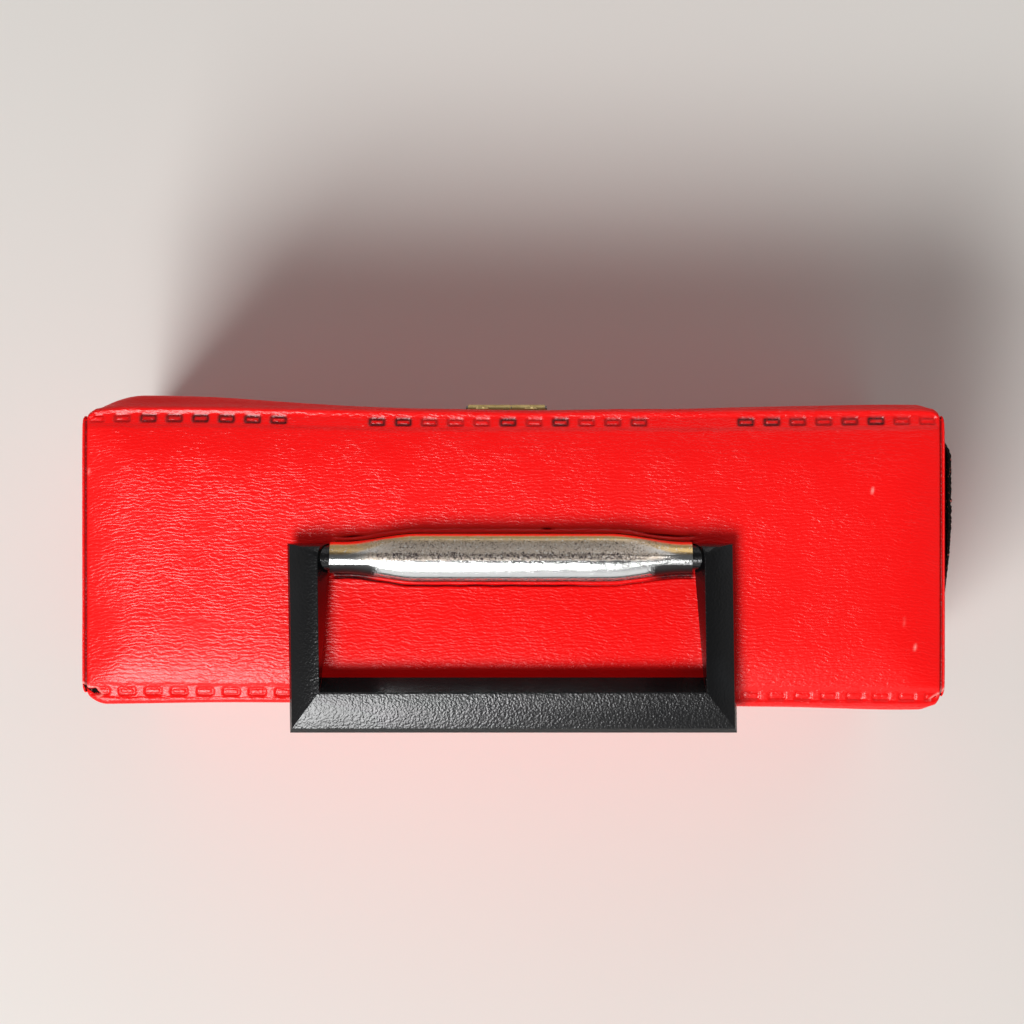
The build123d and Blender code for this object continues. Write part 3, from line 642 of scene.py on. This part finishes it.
def tornAt(x, y):
    # signed distance into a tear, positive inside it
    best = -9
    for outline in tears:
        if abs(x - outline[0][0]) > 9:
            continue
        inside = False
        nearest = 9
        for (ax, ay), (bx, by) in zip(outline, outline[1:] + outline[:1]):
            if (ay > y) != (by > y) and x < (bx - ax) * (y - ay) / (by - ay) + ax:
                inside = not inside
            dx, dy = bx - ax, by - ay
            share = held(((x - ax) * dx + (y - ay) * dy) / (dx ** 2 + dy ** 2))
            nearest = min(nearest, math.hypot(x - ax - share * dx, y - ay - share * dy))
        best = max(best, nearest if inside else -nearest)
    return best


# The ends, as x and relief: a groove, then the bead that the end sheet is tucked under
endColumns = ((110.3, 0), (110.7, 0), (110.95, -0.05), (111.15, -0.3), (111.38, -0.55),
              (111.6, -0.52), (111.77, -0.18), (111.92, 0.1), (112.12, 0.17), (112.32, 0.06),
              (112.46, -0.2), (112.5, -0.5), (112.42, -0.9), (112.3, -1.3))


def wallStations(x):
    # half a section, from the inside of the rim up the wall and round the shoulder: y, z and
    # the way out from the sheet
    r = lidWrap["shoulder"]
    half, rim, edge = case["halfWidth"], case["lidRim"], lidWrap["rimRound"]
    stations = [(half - lidWrap["turnIn"], rim, 0, -1), (half - edge, rim, 0, -1),
                (half - 0.1, rim + 0.1, 0.7, -0.7)]
    turn = math.radians(lidWrap["shoulderTurn"])
    topY = half - r + r * math.cos(turn)
    arcZ = crownHeight(x, topY) - r * math.sin(turn)
    low = rim + edge
    for i in range(lidWrap["wallSteps"] + 1):
        stations.append((half, low + (arcZ - low) * i / lidWrap["wallSteps"], 1, 0))
    for i in range(1, lidWrap["shoulderSteps"] + 1):
        a = turn * i / lidWrap["shoulderSteps"]
        across, up = math.cos(a), math.sin(a)
        stations.append((half - r + r * across, arcZ + r * up, across, up))
    return stations


# Places from the shoulder in to the slit, close together where there is relief, then under the clip
topReach = (spread(37.15, 32.0, 0.25) + spread(31, 16, 1.25) + spread(15, 8.0, 0.7)
            + spread(7.6, clipForm["endHalf"] + slit["play"], 0.15))
underClip = [clipForm["endHalf"] - clipForm["sheet"] - slit["play"], 1.6, 0]


def topPlace(reach, x):
    # rows near the clip follow its swelling side
    swell = clipHalfWidth(min(abs(x), case["clipHalf"])) - clipForm["endHalf"]
    follow = min(reach / 3.0, 1) * (1 - smooth(8.0, 16, reach))
    return reach + swell * follow


def wrapPoint(side, x, y, z, ny, nz, relief):
    # a point moved out along its normal by the relief and the sheet's slack waves
    height, size = lidWrap["ripple"]
    rise = relief + height * wander(x, side * y, z, size, 1) * smooth(88, 95, z)
    return side * (y + ny * rise), z + nz * rise


def slitAt(side, x, y):
    # relief of a slit's lip and open cut, and the painted shade in the cut and along the clip's
    # edge
    slitEnd = case["clipHalf"] + slit["play"]
    if abs(x) >= slitEnd + 1.5:
        return 0, 0
    gap = y - clipHalfWidth(x)
    ends = 1 - smooth(slitEnd - 0.6, slitEnd + 1.4, abs(x))
    lip = 0.35 + 0.25 * wander(x, side * 9, 0, 7, 4)
    if side < 0:
        strong = slit["front"] + sum(share * bell(x, at, wide) for at, wide, share in frontCuts)
    else:
        least, start, end = slit["rear"]
        strong = least + 0.4 * smooth(start, end, x)
    strong = min(strong, 1)
    cut = slit["cut"] + 0.2 * wander(x, side * 4, 0, 5, 5)
    relief = ends * strong * (lip * bell(gap, *slit["lip"])
                              - slit["cutDepth"] * bell(gap, cut, slit["cutWidth"]))
    # painted shade in the open cut and in the gap along the clip
    grimeAndShade = max(ends * strong * bell(gap, cut, 0.22), ends * 0.9 * bell(gap, 0, 0.16))
    if side > 0:
        # painted shadow on the vinyl behind the clip's ends
        grimeAndShade = max(grimeAndShade, 0.95 * ends * smooth(*slit["rearShadow"], abs(x)) * smooth(1.7, 1.1, gap))
    return relief, grimeAndShade


def topPoint(side, x, reach, endRelief):
    y = topPlace(reach, x)
    net = netOut(side, x)
    if net < 0:
        start, run = lidWrap["dented"]
        y += net * held((reach - start) / run)
    else:
        y += 0.25 * net * smooth(34.5, 37.15, reach)
    slope = math.radians(21) * smooth(23, 37.6, y)
    relief, grimeAndShade = windowAt(side, x, side * y)
    fade = 1 - 0.7 * smooth(110.6, 111.2, abs(x))
    slitRelief, slitShade = slitAt(side, x, y)
    relief = relief * fade + slitRelief
    # grime and painted shade in the windows; painted shade in the slits, behind the clip's ends and
    # in the end grooves
    grimeAndShade = max(grimeAndShade * fade, slitShade, 0.9 * bell(abs(x), 111.48, 0.3))
    # a slack sheet: long shallow dents on the crown
    depth, size = lidWrap["dents"]
    relief += depth * wander(x, side * y, 3, size, 9) * (1 - smooth(26, 33, y))
    torn = tornAt(x, side * y)
    relief -= 0.7 * smooth(-0.12, 0.3, torn)
    pale = 0.75 * bell(torn, -0.28, 0.22) if torn > -1.5 else 0
    for nickX, nickY in nicks:
        pale = max(pale, bell(math.hypot(x - nickX, 0.8 * (side * y - nickY)), 0, 0.33))
    level = lidWrap["levelEnd"]
    height = crownHeight(min(max(x, -level), level), y)
    point = wrapPoint(side, x, y, height, math.sin(slope), math.cos(slope), relief + endRelief)
    dull = 0
    if side > 0:
        # under the handle's opening the sheet keeps less of its polish
        dull = 0.6 * smooth(50, 42, abs(x)) * smooth(5, 10, y) * smooth(33, 27, y)
    return (*point, (grimeAndShade, pale, dull), torn > 0.05)


def buildLidWrap():
    columns = [(-x, d) for x, d in endColumns[::-1]]
    columns += [(x, 0) for x in spread(-110, 110, lidWrap["step"])]
    columns += [(x, d * 0.8) for x, d in endColumns]
    points, tints, torn = [], [], []
    for x, endRelief in columns:
        line = []
        for side in (-1, 1):
            strip = []
            for y, z, ny, nz in wallStations(min(abs(x), lidWrap["levelEnd"])):
                place = wrapPoint(side, x, y + wallOut(side, x, z), z, ny, nz, endRelief)
                # the walls have less polish than the top
                strip.append((*place, (0, 0, 0.82 * smooth(118.6, 117.2, z)), False))
            strip += [topPoint(side, x, reach, endRelief) for reach in topReach + underClip]
            line += strip if side < 0 else strip[-2::-1]
        for y, z, tint, hole in line:
            points.append((x, y, z))
            tints.append(tint)
            torn.append(hole)
    across = len(points) // len(columns)
    slitEnd = case["clipHalf"] + slit["play"]
    slitRow = len(wallStations(0)) + len(topReach) - 1
    faces, marks = [], []
    for c in range(len(columns) - 1):
        inSlit = max(abs(columns[c][0]), abs(columns[c + 1][0])) < slitEnd
        for r in range(across - 1):
            if inSlit and r in (slitRow, across - 2 - slitRow):
                continue
            a = c * across + r
            quad = (a, a + across, a + across + 1, a + 1)
            faces.append(quad)
            marks.append(1 if all(torn[p] for p in quad) else 0)
    piece = makeMesh("lidWrap", points, faces, ["redVinyl", "backingAndShade"], "lid",
                     marks, tints)
    thicken(piece, case["sheet"])
    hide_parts("lid_wrap_cover")


buildLidWrap()
print("lid wrap made")


# Foam under the wrap: how far it stays back from the ends, the sides and the sheet
lidFoam = {"ends": 3.6, "sides": 5.6, "under": 1.75, "least": 0.15}


def buildFoam():
    halfX, halfY = case["wrapHalf"] - lidFoam["ends"], case["halfWidth"] - lidFoam["sides"]
    foot = case["boardTop"]
    columns, lines = spread(-halfX, halfX, 4), spread(-halfY, halfY, 2)
    points = []
    for y in lines:
        for x in columns:
            top = max(crownHeight(x, y) - lidFoam["under"], foot + lidFoam["least"])
            points.append((x, y, top))
    lower = len(points)
    points += [(x, y, foot) for y in lines for x in columns]
    width, depth = len(columns), len(lines)
    faces = gridFaces(depth, width)
    faces += [tuple(lower + p for p in f[::-1]) for f in gridFaces(depth, width)]
    ring = (list(range(width)) + [r * width + width - 1 for r in range(1, depth)]
            + [(depth - 1) * width + c for c in range(width - 2, -1, -1)]
            + [r * width for r in range(depth - 2, 0, -1)])
    for a, b in zip(ring, ring[1:] + ring[:1]):
        faces.append((a, lower + a, lower + b, b))
    piece = makeMesh("lidFoam", points, faces, ["foam"], "lid")
    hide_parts("lid_padding")


buildFoam()


# The lid's boards and lining, their corners crushed in as far as the sheet over them: axis and
# place of the cuts that let them bend, and how far and where the top corners are pressed down
tuck = {
    "cuts": [(0, sign * x) for x in range(99, 112) for sign in (-1, 1)]
    + [(0, x) for x in range(-96, 97, 4)] + [(2, z) for z in range(90, 116, 4)]
    + [(1, sign * y) for y in (22, 28, 32, 35) for sign in (-1, 1)],
    "press": 1.9,
    "pressX": (101, 110),
    "pressY": (28, 37),
    "pressZ": (115.8, 117.3),
}


def crushCorners(shape):
    for axis, place in tuck["cuts"]:
        middle, normal = Vector(), Vector()
        middle[axis], normal[axis] = place * mm, 1
        parts = shape.verts[:] + shape.edges[:] + shape.faces[:]
        bmesh.ops.bisect_plane(shape, geom=parts, plane_co=middle, plane_no=normal, dist=1e-7)
    start, run = lidWrap["dented"]
    for vertex in shape.verts:
        x, y, z = (c / mm for c in vertex.co)
        side = -1 if y < 0 else 1
        net = min(netOut(side, x), 0) * smooth(*lidWrap["crush"], z)
        vertex.co.y += side * net * held((abs(y) - start) / run) * mm
        pressed = smooth(*tuck["pressX"], abs(x)) * smooth(*tuck["pressY"], abs(y))
        vertex.co.z -= tuck["press"] * (pressed * smooth(*tuck["pressZ"], z)) * mm


for node in ("lid_top_board", "lid_front_board", "lid_rear_board", "lid_left_board",
             "lid_right_board", "lid_lining"):
    dressed(node, crushCorners)

# Lid: end sheets, glued on under the bead; the one at the picture's right has come loose
lidEnd = {
    "loose": 2.1,                # how far its top edge stands off
    "looseFrom": (-31.6, -26.0), # where along its length it starts and stops
    "looseTo": (-12.0, 15.5),
    "fray": 0.3,
}


def buildLidEnd(name, node, sign):
    half, rim, out = case["halfWidth"], case["lidRim"], case["halfLength"]
    level = lidWrap["levelEnd"]
    levels = [(case["wrapHalf"] - 1.6, rim), (out - 0.3, rim), (out - 0.05, rim + 0.2)]
    levels += [(out, z) for z in spread(rim + 0.7, 112, 1.3)]
    levels += [(out, z) for z in spread(112.6, 118.1, 0.45)]
    shares = spread(-1, 1, 0.006)
    points, tints = [], []
    for x, z in levels:
        for t in shares:
            side = -1 if t < 0 else 1
            y = t * (half + wallOut(side, sign * 111.8, z) - 0.35)
            top = (crownHeight(level, y) - crownHeight(level, 0)) * smooth(108, 118, z)
            roll = 0.4 * smooth(0.97, 1.0, abs(t)) ** 2
            wave = 0.15 * wander(y, z, sign * 5, 19, 2) * smooth(88, 96, z) - 0.08
            stand = 0
            if sign < 0:
                free = smooth(*lidEnd["looseFrom"], y) * (1 - smooth(*lidEnd["looseTo"], y)) ** 0.8
                stand = lidEnd["loose"] * free * smooth(103, 118, z) ** 1.4
                edge = free * smooth(116.4, 118.1, z)
                stand += edge * lidEnd["fray"] * wander(y, 1, 0, 0.9, 6)
                top += edge * 0.55 * wander(y, 2, 0, 0.7, 7)
            points.append((sign * (x - roll + wave + stand), y, z + top))
            tints.append((0, 0, 0.5))
    faces = gridFaces(len(levels), len(shares))
    if sign < 0:
        faces = [f[::-1] for f in faces]
    piece = makeMesh(name, points, faces, ["endVinyl", "backingAndShade"], "lid", None, tints)
    # the sheet's edge and inside take the black backing: at the loose end, painted shade with
    # painted glints
    thicken(piece, case["sheet"], rim=1)
    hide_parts(node)


buildLidEnd("lidEndLeft", "lid_left_cover", -1)
buildLidEnd("lidEndRight", "lid_right_cover", 1)


def buildBaseWall(name, node, sign, along):
    # a base sheet: along is "x" for the long walls and "y" for the ends
    half = case["halfWidth"] if along == "x" else case["halfLength"]
    reach = case["wrapHalf"] if along == "x" else case["halfWidth"]
    rim = case["baseRim"]
    levels = [(half - 2.2, rim), (half - 0.3, rim), (half - 0.08, rim - 0.1)]
    levels += [(half, z) for z in spread(rim - 0.35, 1.4, 2.2)]
    levels += [(half - 0.08, 0.8), (half - 0.3, 0.45)]
    places = spread(-reach, reach, 1.5)
    points = []
    for depth, z in levels:
        for p in places:
            roll = 0.3 * smooth(reach - 1.2, reach, abs(p)) ** 2
            wave = 0.1 * wander(p, z, sign * 9 + half, 27, 5) * smooth(0, 8, z) * smooth(86, 78, z)
            d = sign * (depth - roll + min(wave, 0.1))
            points.append((p, d, z) if along == "x" else (d, p, z))
    faces = gridFaces(len(levels), len(places))
    if (sign > 0) != (along == "x"):
        faces = [f[::-1] for f in faces]
    finish = "redVinyl" if along == "x" else "endVinyl"
    piece = makeMesh(name, points, faces, [finish], "base", None,
                     [(0, 0, 0.5)] * len(points))
    thicken(piece, case["sheet"])
    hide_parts(node)


buildBaseWall("baseFront", "base_front_cover", -1, "x")
buildBaseWall("baseRear", "base_rear_cover", 1, "x")
buildBaseWall("baseEndLeft", "base_left_cover", -1, "y")
buildBaseWall("baseEndRight", "base_right_cover", 1, "y")
softened("base_bottom_cover", 0.15)
print("sheets made")

# Handle: how far the ring is out of true, and how the bar's open ends are flattened in front
handleLean = {
    "widen": 1.0035,
    "shift": 0.7,
    "armFrom": 6,                    # in front of this y only points outside the clip lean
    "endFrom": -3.2,
    "endShort": 0.84,
    "insideX": 53.5,                 # faces within these that look inward are smooth
    "insideY": 36.5,
}


def buildHandle():
    # the moulded ring, a little out of true, with its inner sides smooth
    piece = softened("handle", 0.45, 3)
    mesh = piece.data
    mesh.materials.append(materials["smoothAbs"])
    for face in mesh.polygons:
        x, y = face.center.x / mm, face.center.y / mm
        inward = Vector((0, 0.02, 0)) - face.center
        inward.z = 0
        inside = abs(x) < handleLean["insideX"] and y < handleLean["insideY"]
        if inside and face.normal.dot(inward.normalized()) > 0.2 and abs(face.normal.z) < 0.93:
            face.material_index = 1
    for vertex in mesh.vertices:
        x, y = vertex.co.x / mm, vertex.co.y / mm
        if abs(x) > case["clipHalf"] or y > handleLean["armFrom"]:
            lean = handleLean["shift"] * (1 - (y - handleLow[1]) / (handleHigh[1] - handleLow[1]))
            vertex.co.x = (x * handleLean["widen"] + lean) * mm
        if y < handleLean["endFrom"] and abs(x) > case["clipHalf"]:
            vertex.co.y = y * handleLean["endShort"] * mm


buildHandle()

# Clip: one arched sheet, swelling to a rubbed flat in its middle, with tabs through the board
clipShape = {
    "span": (-45.9, 47.2),
    "step": 0.45,
    "rise": 4.08,
    "archSteps": 48,
    "flat": (-4.8, -1.3),            # front and rear edges of the flat
    "flatSink": 0.4,
    "sinkWidth": 4.1,
    # heights of the feet over the board, and how far each follows the drawn width, from the solid's
    "feet": ((0, 0), (0.8, 0.1), (1.8, 0.6), (2.9, 1.0), (4.5, 1.0)),
    "tabs": (-36, 0, 36),
    "tab": (12.0, 4.0),
}


def clipSection(x):
    # one section of the drawn face from the front foot over the top to the rear foot
    half, solidHalf = clipHalfWidth(x), solidHalfWidth(x)
    middle = smooth(44, 30, abs(x))
    front, rear = clipShape["flat"]
    # the front feet carry the painted warm reflection
    feet = [(-(solidHalf + (half - solidHalf) * share), case["boardTop"] + z, (0.8, 0, 0))
            for z, share in clipShape["feet"]]
    ragged = 0.25 * wander(x, 0, 4, 2.1, 11) + 0.2 * wander(x, 0, 7, 0.8, 12)
    arch = []
    for i in range(clipShape["archSteps"] + 1):
        a = math.pi * i / clipShape["archSteps"]
        y, z = -half * math.cos(a), clipShape["rise"] * math.sin(a)
        flat = middle * smooth(front - 0.5, front + 0.8, y) * smooth(rear + 0.7, rear - 0.3, y)
        dish = math.sin(math.pi * held((y - front) / clipShape["sinkWidth"]))
        z -= middle * (clipShape["flatSink"] * dish)
        z += 0.05 * wander(x, y, 2, 4, 13) + 0.07 * middle * wander(x, 0, 5, 14, 15)
        ridge = 0.16 * bell(y, -1.2 + 0.7 * smooth(-18, -34, x), 0.28) * smooth(-15, -22, x)
        z += ridge * smooth(-44, -38, x)
        # the painted warm reflection on the front flank, the rubbed flat and the band behind it,
        # and grime with painted shadow
        # painted warm reflection along the front flank
        warmReflection = smooth(front + 1.5 + 2.9 * (1 - middle), front + 0.7 + 2.9 * (1 - middle), y)
        band = middle * smooth(rear - 0.3 + ragged, rear + 0.3 + ragged, y)
        band *= smooth(0.9 + ragged, 0.3 + ragged, y)
        rub = max(0.5 * flat, band)
        # grime with painted shadow towards the ends behind, and a painted dark reflection along the
        # rear foot
        grimeAndShadow = smooth(31, 40, abs(x)) * smooth(1.2, 2.4, y)
        grimeAndShadow = max(grimeAndShadow, 0.55 * smooth(half - 1.3, half - 0.2, y))
        arch.append((y, case["barZ"] + z, (0.9 * warmReflection, rub, grimeAndShadow)))
    # the rear feet darkened with painted shade, more towards the ends
    grimyAndShaded = 0.5 + 0.5 * smooth(36, 44, abs(x))
    back = [(-foot[0], foot[1], (0, 0, grimyAndShaded)) for foot in feet[::-1]]
    return feet + arch + back


def buildClip():
    places = spread(*clipShape["span"], clipShape["step"])
    points, tints = [], []
    for x in places:
        for y, z, tint in clipSection(x):
            points.append((x, y, z))
            tints.append(tint)
    across = len(points) // len(places)
    faces = [f[::-1] for f in gridFaces(len(places), across)]
    wide, long = clipShape["tab"]
    foot = case["boardFoot"]
    for x in clipShape["tabs"]:
        reach = solidHalfWidth(abs(x) + wide / 2)
        for side in (-1, 1):
            bend = [(reach, case["boardTop"] + 0.2), (reach, foot + 0.5),
                    (reach + 0.15, foot + 0.12), (reach + 0.6, foot - 0.02),
                    (reach + long, foot - 0.02)]
            start = len(points)
            for px in (x - wide / 2, x + wide / 2):
                for y, z in bend:
                    points.append((px, side * y, z))
                    tints.append((0.5, 0.3, 0.2))
            strip = gridFaces(2, len(bend))
            if side > 0:
                strip = [f[::-1] for f in strip]
            faces += [tuple(start + p for p in f) for f in strip]
    piece = makeMesh("handleClip", points, faces, ["chrome"], "lid", None, tints)
    thicken(piece, clipForm["sheet"])
    crisp = piece.modifiers.new("crisp", "EDGE_SPLIT")
    crisp.split_angle = math.radians(50)
    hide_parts("handle_clip")


buildClip()

# Latch, hinges, rack and dividers: the solids with their edges broken
for node in ("latch_plate", "latch_tongue", "latch_catch"):
    softened(node, 0.12)
for side in ("left", "right"):
    for leaf in ("base", "lid"):
        softened(f"hinge_{side}_{leaf}_leaf", 0.15)
softened("cassette_rack", 0.25)
for number in range(1, 12):
    softened(f"divider_{number:02d}", 0.2)
print("handle, clip and fittings made")

# Camera: straight above the lid, the latch side at the picture's top; pixel is a pixel's size on
# the plane at planeZ
view = {"height": 650, "pixel": 0.2596, "pixels": 1024, "sensor": 36,
        "middleX": 0.4, "middleY": -11.7, "planeZ": 121.3}
cameraData = bpy.data.cameras.new("camera")
camera = bpy.data.objects.new("camera", cameraData)
bpy.context.collection.objects.link(camera)
camera.location = [v * mm for v in (view["middleX"], view["middleY"],
                                    view["planeZ"] + view["height"])]
camera.rotation_euler = (0, 0, math.pi)
cameraData.sensor_width = view["sensor"]
cameraData.lens = view["sensor"] * view["height"] / (view["pixels"] * view["pixel"])
cameraData.clip_end = 20
bpy.context.scene.camera = camera

# Stage: a plain pale floor and soft light
floorData = bpy.data.meshes.new("floor")
floorReach = 3.0
floorData.from_pydata([(x * floorReach, y * floorReach, 0)
                       for x, y in ((-1, -1), (1, -1), (1, 1), (-1, 1))], [], [(0, 1, 2, 3)])
floor = bpy.data.objects.new("floor", floorData)
bpy.context.collection.objects.link(floor)
floorMaterial, floorTree, floorShader = newMaterial("paleFloor")
setInputs(floorTree, floorShader, {"Base Color": "#D9D6D1", "Roughness": 0.9})
floorData.materials.append(floorMaterial)

world = bpy.data.worlds.new("studio")
world.use_nodes = True
bpy.context.scene.world = world
# soft walls of light, darker straight overhead and brightest behind the case: the axis, the two
# slopes between which the light changes, and its strength at each
studio = {"overhead": (2, 0.55, 0.93, 0.36, 0.1), "rear": (1, 0.62, 0.92, 0, 0.5)}
worldTree = world.node_tree
sky = addNode(worldTree, "TexCoord", output="Generated")
sky = addNode(worldTree, "SeparateXYZ", None, {0: sky}).node
glows = [addNode(worldTree, "MapRange", {"interpolation_type": "SMOOTHSTEP"},
                 {"Value": sky.outputs[axis], "From Min": first, "From Max": last,
                  "To Min": low, "To Max": high})
         for axis, first, last, low, high in studio.values()]
total = addNode(worldTree, "Math", {"operation": "ADD"}, dict(enumerate(glows)))
setInputs(worldTree, worldTree.nodes["Background"], {"Strength": total, "Color": (1, 1, 1, 1)})

lampsAimAt = (0, 0, 0.08)
lamps = {
    "rearSoftbox": {"at": (0.4, 0.72, 1.25), "size": 0.6, "power": 21.0},
    "frontFill": {"at": (-0.4, -1.1, 0.9), "size": 0.9, "power": 1.8},
}
for name, lamp in lamps.items():
    light = bpy.data.lights.new(name, "AREA")
    light.size = lamp["size"]
    light.energy = lamp["power"]
    holder = bpy.data.objects.new(name, light)
    bpy.context.collection.objects.link(holder)
    holder.location = lamp["at"]
    aim = Vector(lampsAimAt) - Vector(lamp["at"])
    holder.rotation_euler = aim.to_track_quat("-Z", "Y").to_euler()

print("camera, floor and light placed")

bpy.context.scene.view_settings.view_transform = "Standard"
